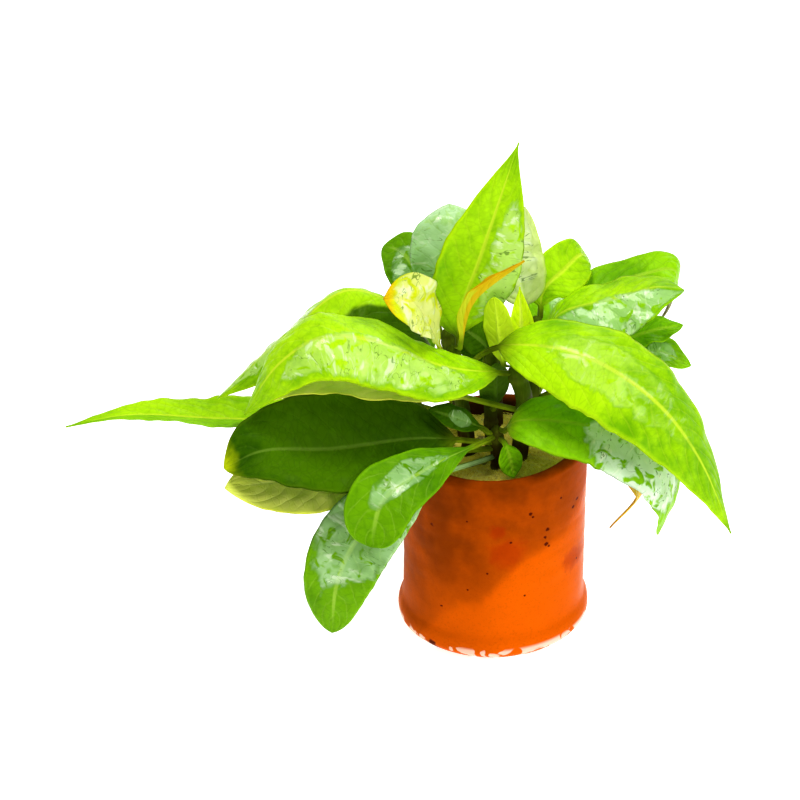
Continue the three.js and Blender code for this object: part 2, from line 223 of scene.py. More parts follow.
# The quick way to place and link shader nodes in one tree.
class Nodes:
    def __init__(self, tree):
        self.tree = tree

    # a socket is linked, anything else is set on the input itself
    def feed(self, node, inputs):
        for key, value in inputs.items():
            if isinstance(value, bpy.types.NodeSocket):
                self.tree.links.new(value, node.inputs[key])
            else:
                node.inputs[key].default_value = value
        return node

    def add(self, kind, inputs, **settings):
        node = self.tree.nodes.new("ShaderNode" + kind)
        for key, value in settings.items():
            setattr(node, key, value)
        return self.feed(node, inputs)

    def math(self, operation, a, b=0.0, c=0.0, clamp=False):
        node = self.add("Math", {0: a, 1: b, 2: c}, operation=operation, use_clamp=clamp)
        return node.outputs[0]

    def times(self, a, b):
        return self.math("MULTIPLY", a, b)

    # a times b, plus c
    def timesPlus(self, a, b, c):
        return self.math("MULTIPLY_ADD", a, b, c)

    def vector(self, operation, a, b):
        return self.add("VectorMath", {0: a, 1: b}, operation=operation).outputs[0]

    def length(self, vector):
        return self.add("VectorMath", {0: vector}, operation="LENGTH").outputs["Value"]

    def parts(self, vector):
        return self.add("SeparateXYZ", {0: vector}).outputs

    def place(self):
        return self.add("TexCoord", {}).outputs["Object"]

    def surface(self):
        return self.add("UVMap", {}, uv_map="surfaceMap").outputs[0]

    def mark(self, key):
        return self.add("Attribute", {}, attribute_name=key).outputs["Fac"]

    def relief(self, height, strength, distance):
        inputs = {"Height": height, "Strength": strength, "Distance": distance}
        return self.add("Bump", inputs).outputs[0]

    # 0 below low, 1 above high, eased between; low above high turns it round
    def step(self, value, low, high):
        return self.add("MapRange", {"Value": value, "From Min": low, "From Max": high},
                        interpolation_type="SMOOTHSTEP").outputs[0]

    def noise(self, vector, scale, detail=2.0, rough=0.5, distortion=0.0):
        return self.add("TexNoise", {"Vector": vector, "Scale": scale, "Detail": detail,
                                     "Roughness": rough, "Distortion": distortion}).outputs["Fac"]

    def mix(self, share, a, b):
        a, b = [v if isinstance(v, bpy.types.NodeSocket) else (*v, 1) for v in (a, b)]
        return self.add("Mix", {0: share, 6: a, 7: b}, data_type="RGBA").outputs[2]

    # turns a colour towards another one by a mask times a strength
    def tint(self, colour, mask, strength, other):
        return self.mix(self.times(mask, strength), colour, other)

    def group(self, tree, inputs):
        return self.add("Group", inputs, node_tree=tree).outputs


# A material, the helper for its nodes, and its shader.
def newSkin(name):
    skin = bpy.data.materials.new(name)
    skin.use_nodes = True
    return skin, Nodes(skin.node_tree), skin.node_tree.nodes["Principled BSDF"]


# A shader node group filled in by build, with the kinds of its inputs and the names of its
# outputs, which are all plain values.
def effect(name, build, outputs, **inputs):
    tree = bpy.data.node_groups.new(name, "ShaderNodeTree")
    for key, kind in inputs.items():
        tree.interface.new_socket(name=key, in_out="INPUT", socket_type="NodeSocket" + kind)
    for key in outputs:
        tree.interface.new_socket(name=key, in_out="OUTPUT", socket_type="NodeSocketFloat")
    n = Nodes(tree)
    result = build(n, tree.nodes.new("NodeGroupInput").outputs)
    n.feed(tree.nodes.new("NodeGroupOutput"), result)
    return tree


# Side veins leave the midrib at even steps and sweep towards the tip by slant at the margin;
# between them runs a fine net. Span is the blade's half width and length in millimetres.
def buildVeins(n, given):
    xy = n.parts(given["Map"])
    across = n.timesPlus(xy[0], 2.0, -1.0)
    away = n.math("ABSOLUTE", across)
    wobble = n.noise(given["Map"], 5.0, 2.0)
    sweep = n.times(n.math("POWER", away, 1.25), given["Slant"])
    phase = n.times(n.math("SUBTRACT", xy[1], sweep), given["Count"])
    phase = n.timesPlus(n.math("GREATER_THAN", across, 0.0), 0.4, phase)
    phase = n.timesPlus(wobble, 0.7, phase)
    off = n.math("ABSOLUTE", n.math("SUBTRACT", n.math("FRACT", phase), 0.5))
    vein = n.step(off, 0.10, 0.02)
    vein = n.times(vein, n.step(away, 1.0, 0.75))
    spans = n.parts(given["Span"])
    rib = n.step(n.times(away, spans[0]), 0.9, 0.25)
    rib = n.times(rib, n.step(xy[1], 1.0, 0.8))
    wide = n.vector("MULTIPLY", given["Map"], given["Span"])
    cells = n.add("TexVoronoi", {"Vector": wide, "Scale": 0.55}, feature="DISTANCE_TO_EDGE")
    net = n.step(cells.outputs[0], 0.12, 0.02)
    swell = n.times(n.step(off, 0.02, 0.42), n.step(away, 1.0, 0.6))
    return {"Vein": vein, "Rib": rib, "Net": net, "Swell": swell}


leafVeins = effect("leafVeins", buildVeins, ("Vein", "Rib", "Net", "Swell"),
                   Map="Vector", Span="Vector", Count="Float", Slant="Float")


# A film of water: inside an oval round Centre, half as large as Size, with a ragged shore, broken by
# small islands. Shore is its raised rim, Ripple the streaks in it, that run with the side veins and are
# painted pale as a highlight, and Squiggle the thin dark curls: a narrow band round the middle value of
# a noise, kept in places.
def buildFilm(n, given):
    away = n.vector("SUBTRACT", given["Map"], given["Centre"])
    reach = n.length(n.vector("DIVIDE", away, given["Size"]))
    moved = n.vector("ADD", n.vector("MULTIPLY", given["Map"], given["Span"]), given["Shift"])
    rough = n.noise(moved, 0.14, 3.0, 0.55, 0.6)
    isle = n.noise(moved, 0.26, 2.0, 0.5, 0.9)
    reach = n.timesPlus(n.math("SUBTRACT", rough, 0.5), given["Ragged"], reach)
    lake = n.times(n.step(reach, 0.54, 0.46), n.step(isle, 0.33, 0.46))
    shore = n.times(n.step(reach, 0.56, 0.50), n.step(reach, 0.43, 0.49))
    turned = {"Vector": moved, "Rotation": (0, 0, 0.9), "Scale": (0.45, 1.2, 1)}
    slanted = n.add("Mapping", turned).outputs[0]
    streak = n.noise(slanted, 0.34, 2.5, 0.6, 0.9)
    rippleGlint = n.times(n.step(streak, 0.54, 0.68), lake)
    curl = n.noise(slanted, 0.24, 1.5, 0.5, 1.6)
    band = n.step(n.math("ABSOLUTE", n.math("SUBTRACT", curl, 0.5)), 0.016, 0.007)
    band = n.times(band, n.step(n.noise(moved, 0.30, 1.0), 0.50, 0.56))
    return {"Film": lake, "Shore": shore, "RippleGlint": rippleGlint, "Squiggle": n.times(band, lake)}


waterFilm = effect("waterFilm", buildFilm, ("Film", "Shore", "RippleGlint", "Squiggle"),
                   Map="Vector", Span="Vector", Centre="Vector", Size="Vector", Shift="Vector",
                   Ragged="Float")


# Small dark specks: cells whose random colour passes Amount, each shrunk to a ragged dot.
def buildSpecks(n, given):
    bent = n.add("TexNoise", {"Vector": given["Place"], "Scale": 900.0, "Detail": 2.0})
    bent = n.add("VectorMath", {0: bent.outputs["Color"], "Scale": 0.0011}, operation="SCALE")
    place = n.vector("ADD", bent.outputs[0], given["Place"])
    cells = n.add("TexVoronoi", {"Vector": place, "Scale": given["Scale"]})
    chance = n.add("SeparateColor", {0: cells.outputs["Color"]}).outputs[0]
    here = n.math("LESS_THAN", chance, given["Amount"])
    return {"Speck": n.times(n.step(cells.outputs["Distance"], 0.30, 0.16), here)}


specks = effect("specks", buildSpecks, ("Speck",), Place="Vector", Scale="Float", Amount="Float")
print("shared effects ready")

# foot (x, y) in the wool, points (x, y, height above the lip) that a stem grows through, radius
stems = dict(
    front=dict(foot=(6, -6), through=[(8, -6, 13), (5, -7, 26)], radius=2.2),
    left=dict(foot=(-7, -2), through=[(-10, -3, 22), (-11, -4, 31)], radius=1.8),
    left_back=dict(foot=(-8, 7), through=[(-10, 9, 12), (-12, 12, 28)], radius=1.8),
    right_back=dict(foot=(8, 6), through=[(11, 6.5, 14), (12, 7, 33)], radius=1.9),
    low=dict(foot=(0, -10), through=[(0, -10.5, 3), (0, -11, 10)], radius=1.7),
    middle=dict(foot=(-1, 0), through=[(-1, 0, 12), (0, 0, 28)], radius=1.7),
    back=dict(foot=(1, 12), through=[(1, 15, 10), (0, 18, 24)], radius=1.7),
)
lipHeight = 56  # of the pot
stemLook = dict(
    dip=4, rootDepth=14,  # how far below the lip it leaves the wool, and how deep it roots below
    knotGap=9.5, knotSwell=0.16, squareness=0.05, grain=0.02,
    green=(0.075, 0.120, 0.002), brown=(0.060, 0.036, 0.002), pale=(0.26, 0.34, 0.02),
    browner=(0.072, 0.056),  # heights in metres between which the foot turns brown
    relief=(0.5, 0.0003), gloss=0.10, alongSteps=110, roundSteps=28,
)


# Straight up out of the wool, then smoothly through the stem's points.
def stemLine(s):
    dip = stemLook["dip"]
    rise = [(*s["foot"], -dip - stemLook["rootDepth"]), (*s["foot"], -dip), *s["through"]]
    return smoothLine([(x, y, lipHeight + up) for x, y, up in rise])


# Where a stem is at a height.
def stemPoint(s, height):
    line = stemLine(s)
    return np.array([np.interp(height, line[:, 2], line[:, k]) for k in range(3)])


# A tube round the stem's line: radius times 1 plus a swelling at every knot, a slight square
# section and a domed end.
def makeStem(name, s):
    line = stemLine(s)
    full = lengthOf(line)
    at = full * np.linspace(0, 1, stemLook["alongSteps"]) ** 0.9
    centre, slope = alongLine(line, at)
    side = unit(np.cross(slope, (0.0, 1.0, 0.0)))
    front = np.cross(slope, side)
    a = np.linspace(0, 2 * math.pi, stemLook["roundSteps"], endpoint=False)
    fromTip = full - at
    look = stemLook
    knot = np.exp(-(((fromTip - 3) % look["knotGap"]) / 1.1 - 1.2) ** 2)
    dome = np.sqrt(np.clip(fromTip / 2.0, 0.0004, 1))
    size = s["radius"] * (1.0 + look["knotSwell"] * knot) * dome
    grain = uneven(np.stack([a[None, :] * 2 + 0 * at[:, None], at[:, None] * 0.8 + 0 * a], -1), 3.0, 5)
    size = size[:, None] * (1 + look["squareness"] * np.cos(4 * a)[None] + look["grain"] * grain)
    rings = (centre[:, None] + side[:, None] * (size * np.cos(a))[..., None]
             + front[:, None] * (size * np.sin(a))[..., None])
    uv = np.stack(np.broadcast_arrays((a / (2 * math.pi))[None], (at / full)[:, None]), -1)
    piece = ringSkin(pieceName("stem", name), rings, uv, {"knot": knot[:, None] + 0 * a})
    settle(piece, "stem", "stem_" + name)
    return piece


# Stem skin: olive green above, browner near the wool, pale ring under every knot, long fine ridges.
def stemMaterial():
    skin, n, shader = newSkin("stemSkin")
    place = n.place()
    high = n.parts(place)[2]
    long = n.add("Mapping", {"Vector": place, "Scale": (1600, 1600, 130)}).outputs[0]
    ridges = n.noise(long, 1.0, 3.0, 0.6)
    blot = n.noise(place, 260.0, 3.0)
    tone = n.mix(n.step(high, *stemLook["browner"]), stemLook["green"], stemLook["brown"])
    tone = n.tint(tone, n.step(ridges, 0.55, 0.78), 0.3, stemLook["pale"])
    tone = n.tint(tone, n.step(blot, 0.5, 0.8), 0.6, stemLook["brown"])
    tone = n.tint(tone, n.mark("knot"), 0.18, stemLook["pale"])
    n.feed(shader, {"Base Color": tone, "Normal": n.relief(ridges, *stemLook["relief"]),
                    "Roughness": n.step(blot, 1.2, 0.2), "Specular IOR Level": stemLook["gloss"]})
    return skin


stemSkin = stemMaterial()
for name, s in stems.items():
    makeStem(name, s).data.materials.append(stemSkin)
print("stems ready")

# Colours of a blade: deep and light mottling, the rib and margin, the underside, and what it turns
# to under water, a paler colour that is painted sheen of the water. veins is how strongly the side
# veins show, gloss how strongly the skin mirrors.
leafTones = dict(
    lime=dict(veins=0.15, gloss=0.07, deep=(0.15, 0.4, 0.002), light=(0.45, 0.78, 0.006),
        rib=(0.6, 0.78, 0.04), margin=(0.5, 0.78, 0.006), under=(0.4, 0.62, 0.02),
        wet=(0.52, 0.76, 0.2)),
    yellow=dict(veins=0.2, gloss=0.08, deep=(0.48, 0.62, 0.004), light=(0.72, 0.78, 0.012),
        rib=(0.78, 0.78, 0.1), margin=(0.68, 0.7, 0.006), under=(0.56, 0.6, 0.03),
        wet=(0.78, 0.84, 0.34)),
    fresh=dict(veins=0.16, gloss=0.08, deep=(0.11, 0.32, 0.001), light=(0.3, 0.64, 0.004),
        rib=(0.36, 0.6, 0.03), margin=(0.33, 0.62, 0.006), under=(0.34, 0.54, 0.02),
        wet=(0.4, 0.66, 0.27)),
    green=dict(veins=0.2, gloss=0.08, deep=(0.06, 0.2, 0.001), light=(0.16, 0.38, 0.003),
        rib=(0.34, 0.56, 0.06), margin=(0.22, 0.5, 0.004), under=(0.24, 0.44, 0.02),
        wet=(0.38, 0.62, 0.27)),
    # dark is a deep green with painted shade in it, for the leaves that lie in the shadow of others
    dark=dict(veins=0.07, gloss=0.03, deep=(0.024, 0.085, 0.001), light=(0.075, 0.18, 0.001),
        rib=(0.16, 0.28, 0.03), margin=(0.09, 0.18, 0.003), under=(0.1, 0.2, 0.01),
        wet=(0.3, 0.5, 0.18)),
    # grey is green paled towards grey, standing in for the wet sheen over much of the leaf: painted
    # reflection
    grey=dict(veins=0.22, gloss=0.12, deep=(0.24, 0.5, 0.13), light=(0.42, 0.68, 0.24),
        rib=(0.46, 0.7, 0.24), margin=(0.22, 0.54, 0.04), under=(0.36, 0.54, 0.06),
        wet=(0.42, 0.66, 0.34)),
    pale=dict(veins=0.2, gloss=0.12, deep=(0.6, 0.76, 0.22), light=(0.8, 0.9, 0.4),
        rib=(0.7, 0.86, 0.24), margin=(0.56, 0.8, 0.08), under=(0.56, 0.72, 0.12),
        wet=(0.82, 0.93, 0.52)),
    spring=dict(veins=0.2, gloss=0.08, deep=(0.54, 0.86, 0.004), light=(0.72, 0.95, 0.01),
        rib=(0.8, 0.94, 0.1), margin=(0.7, 0.92, 0.01), under=(0.6, 0.84, 0.03),
        wet=(0.8, 0.94, 0.4)),
    straw=dict(veins=0.25, gloss=0.08, deep=(0.82, 0.93, 0.11), light=(0.95, 0.98, 0.24),
        rib=(0.86, 0.92, 0.24), margin=(0.84, 0.92, 0.06), under=(0.88, 0.94, 0.18),
        wet=(0.86, 0.94, 0.46)),
    orange=dict(veins=0.1, gloss=0.08, deep=(0.64, 0.36, 0.002), light=(0.8, 0.56, 0.005),
        rib=(0.76, 0.62, 0.02), margin=(0.7, 0.26, 0.003), under=(0.64, 0.46, 0.01),
        wet=(0.84, 0.74, 0.3)),
    dry=dict(veins=0.3, gloss=0.05, deep=(0.1, 0.11, 0.01), light=(0.3, 0.3, 0.06),
        rib=(0.4, 0.36, 0.1), margin=(0.16, 0.12, 0.02), under=(0.26, 0.22, 0.05),
        wet=(0.4, 0.4, 0.2)),
)

# One leaf each: stem and at (height above the lip) say where it grows, path gives the points
# (x, y, height above the lip) of its midrib. roll turns the blade about it, fold opens the halves
# there and cup bends them further to the margin, all in degrees. belly is where it is widest,
# taper how finely it ends. wave is the height of its margin's waves and their number, crumple how
# bumpy the blade is. half gives the left part a tone of its own, with where across the blade that
# part begins at the base and at the tip; tip gives the end one, with how far along that begins.
# film is where water lies on it, (across, along, width, length) of the map; soft strengthens or
# weakens it, and wet is its colour where the tone's own is not meant, paled as a painted sheen of the
# water.
usualLeaf = dict(roll=0, fold=5, cup=0, belly=0.5, taper=0.8, tone="fresh", slot="leaf", film=None,
                 soft=1.0, wet=None, crumple=0.22, half=None, tip=None)
rearBlade = dict(fold=14, cup=-20, belly=0.45, taper=0.9, wave=(0.5, 4), veins=10)
leaves = dict(
    spear=dict(stem="left", at=28, petiole=4, width=23, roll=80, fold=18, cup=-16, belly=0.37,
        taper=1.3, wave=(0.5, 3), veins=9, tone="lime", film=(0.2, 0.42, 0.42, 0.6),
        path=[(-9, -0.5, 37), (-3, -1, 55), (8, 4, 85)]),
    spear_behind=dict(stem="right_back", at=31, petiole=4, width=14, fold=10, belly=0.36,
        wave=(0.3, 3), veins=7, tone="pale", film=(0.6, 0.5, 0.9, 0.9), path=[(8, 12, 47),
        (10, 16, 61)]),
    young=dict(stem="left", at=31, petiole=3, width=5, fold=60, belly=0.4, taper=1.1, wave=(0.15, 4),
        veins=9, tone="yellow", half=("orange", 0.4, 0.1), tip=("orange", 0.5), slot="young_leaf",
        path=[(-8, -7, 38.5), (-5, -9, 47), (8, -13, 59.5)]),
    back_gray=dict(stem="left_back", at=26, petiole=4, width=21, fold=-2, cup=-16, belly=0.55,
        taper=0.55, wave=(0.5, 3), veins=7, tone="grey", wet=(0.52, 0.78, 0.46),
        film=(0.5, 0.55, 1.3, 1.1), soft=0.8, path=[(-11, 14, 47), (-10, 18, 57), (-10, 24, 59)]),
    back_left=dict(stem="left_back", at=24, petiole=4, width=16, roll=-30, fold=6, belly=0.55,
        taper=0.6, wave=(0.3, 3), veins=7, tone="green", film=(0.5, 0.5, 0.9, 0.6),
        path=[(-18, 20, 38), (-23, 26, 44), (-28, 31, 44)]),
    crinkled=dict(stem="left", at=27, petiole=4, width=16, roll=-60, fold=15, belly=0.65, wave=(1, 4),
        veins=8, crumple=0.55, tone="yellow", tip=("orange", 0.9), slot="young_leaf",
        film=(0.55, 0.48, 1.5, 0.85), path=[(-18, -8.5, 42.5), (-21.5, -11.5, 48.5), (-28.5, -14, 51)]),
    # arched_left's dark part is painted shade: its near half and the hollow by its base lie in shadow
    arched_left=dict(stem="left_back", at=16, petiole=8, width=26, roll=-10, fold=-14, cup=-28,
        belly=0.45, taper=1, wave=(0.6, 4), veins=10, tone="lime", half=("dark", 0.38, 1.35),
        film=(0.3, 0.8, 0.9, 0.5), path=[(-24, 8, 36), (-38, 8, 42.5), (-55, 2, 33), (-74, -6, 19)]),
    front_left=dict(stem="front", at=24, petiole=2, width=27, roll=-22, fold=-4, cup=-32, belly=0.47,
        taper=1, wave=(0.5, 5), veins=11, tone="lime", film=(0.7, 0.46, 0.5, 0.66), soft=0.9,
        path=[(-14, -16, 31.5), (-32, -18, 41), (-45, -21, 44), (-56, -23, 38), (-66, -22, 23)]),
    far_left=dict(stem="left", at=6, petiole=22, width=20, roll=5, fold=14, belly=0.4, taper=1.2,
        wave=(0.4, 4), veins=11, tone="lime", half=("fresh", 0.5, 0.6), path=[(-31, 4, 4),
        (-75, 5, 6.5), (-99, 3, 10), (-116, 0, 9)]),
    yellow_left=dict(stem="front", at=12, petiole=14, width=16, roll=-20, taper=0.9, wave=(0.4, 4),
        veins=9, tone="straw", slot="young_leaf", path=[(-25, -11, 24), (-49, -16, 30),
        (-64, -20, 25)]),
    big_dark=dict(stem="low", at=5, petiole=10, width=32, roll=-30, fold=15, taper=0.7, wave=(0.5, 5),
        veins=11, tone="dark", tip=("yellow", 0.95), slot="dark_leaf", path=[(-20, -17, 10.5),
        (-44, -24, 12.5), (-62, -27, 14.5), (-72, -28, 10.5)]),
    under_dark=dict(stem="low", at=3, petiole=12, width=22, roll=-35, belly=0.6, wave=(0.3, 4),
        veins=11, tone="straw", path=[(-26, -19, 6.5), (-52, -25.5, 5), (-72, -30.5, 6)]),
    front_small=dict(stem="low", at=7, petiole=8, width=18, roll=-32, fold=8, belly=0.74, taper=0.45,
        wave=(0.4, 3), veins=8, tone="green", film=(0.42, 0.52, 0.42, 0.55), path=[(-19.5, -33, 10.5),
        (-31, -41.5, 6.5), (-34.5, -46.5, -4)]),
    low_front=dict(stem="low", at=0.5, petiole=22, width=20.5, roll=-50, fold=-3, taper=0.6,
        wave=(0.4, 3), veins=9, tone="green", wet=(0.48, 0.72, 0.4), film=(0.5, 0.34, 1.5, 0.74),
        soft=0.85, path=[(-24, -29, 2.5), (-38.5, -38.5, -7), (-44, -42, -18), (-46, -42, -33)]),
    centre_dark=dict(stem="low", at=8, petiole=3, width=8, roll=-30, wave=(0.3, 3), veins=7,
        tone="dark", slot="dark_leaf", film=(0.5, 0.4, 0.6, 0.4), path=[(-4, -12, 10), (-18, -15, 18)]),
    hanging=dict(stem="low", at=6.5, petiole=2, width=7.5, wave=(0.1, 3), veins=6, path=[(2, -14, 6),
        (4, -17.5, -2.5)]),
    right_low=dict(stem="low", at=9, petiole=3, width=23, roll=15, fold=-5, belly=0.42, taper=0.7,
        wave=(0.4, 4), veins=10, wet=(0.72, 0.9, 0.66), film=(0.45, 0.6, 1.2, 0.5), soft=1.4,
        path=[(6, -16, 14), (27, -21, 13), (41, -25, 4), (45, -24, -8), (42, -23, -19)]),
    right_hidden=dict(stem="front", at=2, petiole=6, width=12, roll=20, belly=0.4, taper=1.3,
        wave=(0.2, 3), veins=9, tip=("orange", 0.35), path=[(17, -8, 6), (33, -12, -2),
        (38, -12, -12), (30, -14, -22)]),
    front_right=dict(stem="left", at=22, petiole=15, width=28, roll=19, fold=-4, cup=-28, belly=0.36,
        taper=1.2, wave=(0.6, 6), veins=13, tone="lime", film=(0.5, 0.4, 0.55, 0.5), soft=0.25,
        path=[(-5, -5, 27), (2, -9.5, 33), (17, -17, 35.5), (29, -23, 32.5), (42, -27, 22.5),
        (52, -28, 7), (61, -27, -17)]),
    right_up=dict(stem="right_back", at=31, petiole=3, width=14, roll=40, taper=0.7, wave=(0.3, 3),
        veins=8, tone="lime", path=[(14.5, 12, 38), (20, 17, 41), (25, 22, 43), (27.5, 26, 40)]),
    right_side=dict(stem="right_back", at=25, petiole=4, width=23, roll=15, fold=-20, wave=(0.4, 4),
        veins=9, half=("lime", 0.5, 0.5), film=(0.25, 0.55, 0.55, 0.9), path=[(18, 2.5, 35.5),
        (32, 2, 39.5), (44, 2, 42.5), (51, 1.5, 41.5)]),
    right_back=dict(stem="right_back", at=20, petiole=6, width=14, roll=20, belly=0.45, taper=0.9,
        wave=(0.4, 4), veins=10, tip=("dry", 0.78), path=[(27, 16, 34), (41, 19, 37.5),
        (50.5, 20, 38), (49, 19, 28.5), (44, 16, 21)]),
    far_right_a=dict(stem="right_back", at=14, petiole=14, width=10, roll=20, belly=0.6, wave=(1, 4),
        veins=8, slot="dark_leaf", path=[(41, 9, 25), (52, 11, 26)]),
    far_right_b=dict(stem="right_back", at=8, petiole=16, width=12, roll=20, belly=0.6, wave=(1, 4),
        veins=8, slot="dark_leaf", film=(0.5, 0.7, 0.6, 0.3), path=[(43, 10, 19), (54, 8, 15)]),
    centre_young=dict(stem="front", at=24, petiole=1, width=8, fold=20, belly=0.35, taper=1.1,
        wave=(0.2, 3), veins=8, tone="spring", slot="young_leaf", film=(0.6, 0.2, 0.5, 0.3),
        path=[(7.4, -3.8, 34), (7.2, -3.1, 47)]),
    centre_bright=dict(stem="front", at=25, petiole=1, width=9, roll=80, taper=0.6, wave=(0.2, 3),
        veins=7, tone="spring", slot="young_leaf", path=[(1.6, -4.7, 32), (0.5, -4.6, 45)]),
    inner_dark=dict(stem="middle", at=22, petiole=2, width=11, roll=-30, wave=(0.2, 3), veins=7,
        tone="dark", slot="dark_leaf", path=[(-2, 2, 27), (-8, 4, 32)]),
    upright_dark=dict(stem="middle", at=10, petiole=2, width=10, taper=0.7, wave=(0.1, 3), veins=7,
        tone="dark", slot="dark_leaf", path=[(0, -4, 14), (0.5, -4, 25)]),
    rear_low=dict(rearBlade, stem="back", at=6, petiole=8, width=24, tone="dark", slot="dark_leaf",
        path=[(0, 34, 10), (2, 48, 4), (4, 58, -10)]),
    rear_high=dict(rearBlade, stem="back", at=22, petiole=6, width=24, tone="lime",
        film=(0.4, 0.5, 0.5, 0.4), path=[(-2, 32, 26), (-4, 44, 21), (-6, 54, 8)]),
    rear_left_low=dict(rearBlade, stem="left_back", at=6, petiole=8, width=22, tone="dark",
        slot="dark_leaf", path=[(-24, 26, 8), (-40, 38, 6), (-54, 46, -4)]),
    rear_left_high=dict(rearBlade, stem="left_back", at=14, petiole=8, width=20,
        film=(0.6, 0.6, 0.5, 0.4), path=[(-22, 24, 18), (-32, 36, 16), (-40, 48, 6)]),
    rear_right_low=dict(rearBlade, stem="right_back", at=4, petiole=8, width=22, tone="dark",
        slot="dark_leaf", path=[(20, 26, 12), (30, 40, 10), (36, 52, -2)]),
    rear_right_high=dict(rearBlade, stem="right_back", at=18, petiole=6, width=20,
        film=(0.4, 0.4, 0.5, 0.4), path=[(18, 24, 26), (26, 38, 23), (32, 50, 12)]),
    rear_side=dict(rearBlade, stem="left_back", at=2, petiole=10, width=20, tone="dark",
        slot="dark_leaf", path=[(-30, 18, 4), (-48, 23, 2), (-64, 26, -4)]),
)
leafLook = dict(
    stalkRadius=0.8, thickness=0.34, tipWidth=0.5,
    stalkGap=0.3,  # between a stalk's first bend and its stem
    grip=0.45,  # how deep the stalk's root sits in the stem, as a share of the stem's radius
    jag=(0.012, 5.0),  # the margin's raggedness, as a share of the half width, and its size
    crumpleSize=7.0, groove=0.22, ridge=0.85, ribTip=0.14,
    blisters=0.10,  # how far the skin swells between two veins
    slant=0.24,  # how far a side vein sweeps forward on its way to the margin
    alongSteps=104, acrossSteps=40,
    blotScale=95.0, fineScale=520.0, broadScale=38.0,
    # how strongly each of these colours its place
    swell=0.22, net=0.18, margin=0.75, rib=0.8, under=0.75, rippleGlint=0.50, shore=0.30, curl=0.7,
    relief=(0.5, 0.0003), roughness=0.36,
    filmRoughness=0.10, filmShare=0.60, filmCoat=0.30, coatRoughness=0.04,
    # gleam is a painted highlight: the pale glint painted on the water's streaks
    paintedGlint=(0.86, 0.95, 0.70), squiggle=(0.070, 0.180, 0.010),
    stalkDeep=(0.090, 0.130, 0.004), stalkLight=(0.260, 0.360, 0.010),
    sheen=(0.92, 1.0, 0.45),  # tint of the skin's own mirror light
)


